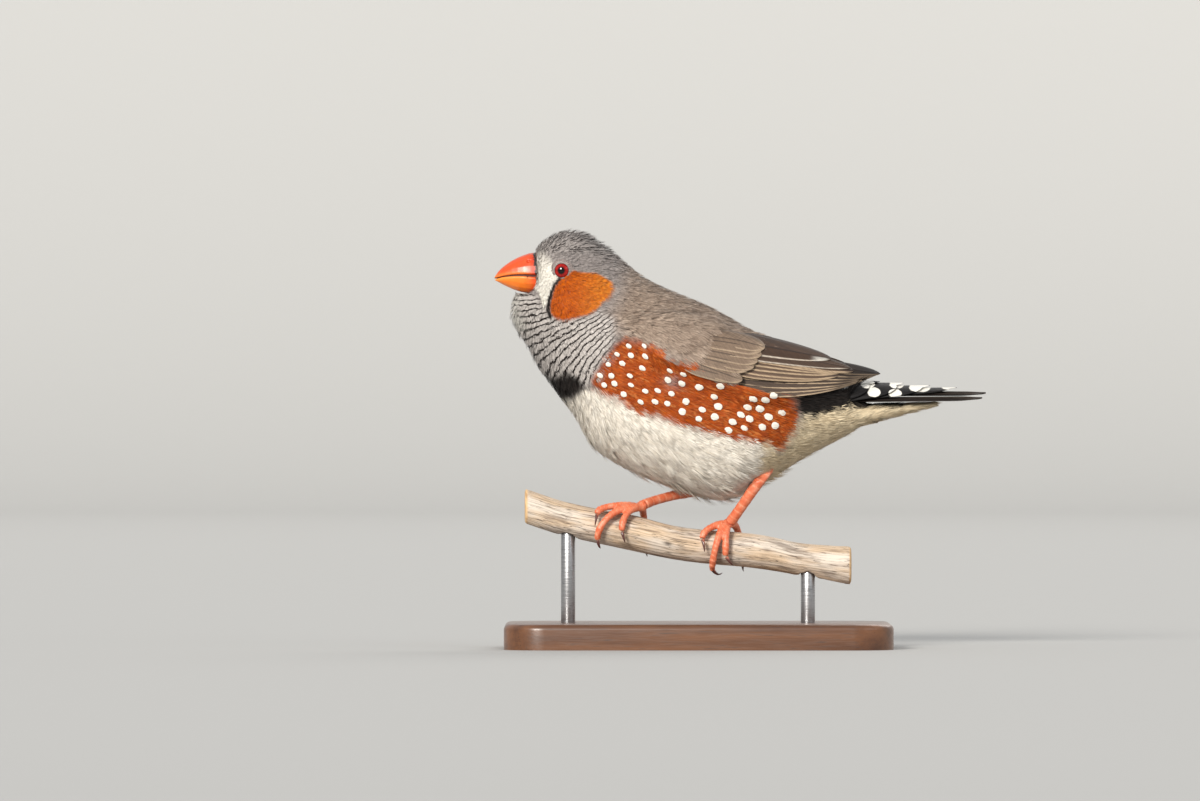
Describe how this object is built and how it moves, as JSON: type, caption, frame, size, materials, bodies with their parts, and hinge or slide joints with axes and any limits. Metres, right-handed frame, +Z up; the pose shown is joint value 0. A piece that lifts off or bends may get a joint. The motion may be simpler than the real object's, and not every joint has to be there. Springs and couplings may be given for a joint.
{
  "type": "zebra finch on a perch",
  "caption": "Life-size male zebra finch in grey, chestnut and cream plumage, gripping a short cut branch on a plain display stand.",
  "frame": {"origin": "centre of the whole object's box, on the floor under the base", "axes": "the bill points along -X and the tail along +X, the bird's left side faces -Y, +Z is up"},
  "size_m": [0.096, 0.046, 0.082],
  "materials": {
    "head_plumage": "fine grey feathers with a white and an orange cheek patch",
    "neck_plumage": "grey feathers with thin black bars in front",
    "body_plumage": "cream belly, chestnut flanks with white spots, brown-grey back",
    "wing_plumage": "brown feathers with paler edges",
    "tail_plumage": "black feathers with white bars",
    "vent_plumage": "soft cream feathers",
    "bill_red": "waxy red-orange horn",
    "bill_orange": "waxy orange horn",
    "eye": "dark red, wet gloss",
    "leg_skin": "scaly orange-pink skin",
    "claw_horn": "brown horn",
    "branch_wood": "weathered, grey and tan, with bare grain",
    "base_wood": "dark, satin",
    "rod_metal": "satin"
  },
  "bodies": {
    "root": {"head": "head_plumage", "neck": "neck_plumage", "torso": "body_plumage", "bill_upper": "bill_red", "bill_lower": "bill_orange", "eye_left": "eye", "eye_right": "eye", "wing_left": "wing_plumage", "wing_right": "wing_plumage", "tail": "tail_plumage", "tail_coverts_upper": "tail_plumage", "tail_coverts_under": "vent_plumage", "leg_left": "leg_skin", "leg_right": "leg_skin", "foot_left": "leg_skin", "foot_right": "leg_skin", "claw_left_inner": "claw_horn", "claw_left_middle": "claw_horn", "claw_left_outer": "claw_horn", "claw_left_hind": "claw_horn", "claw_right_inner": "claw_horn", "claw_right_middle": "claw_horn", "claw_right_outer": "claw_horn", "claw_right_hind": "claw_horn", "perch": "branch_wood", "stand_base": "base_wood", "stand_rod_front": "rod_metal", "stand_rod_rear": "rod_metal"}
  },
  "joints": []
}
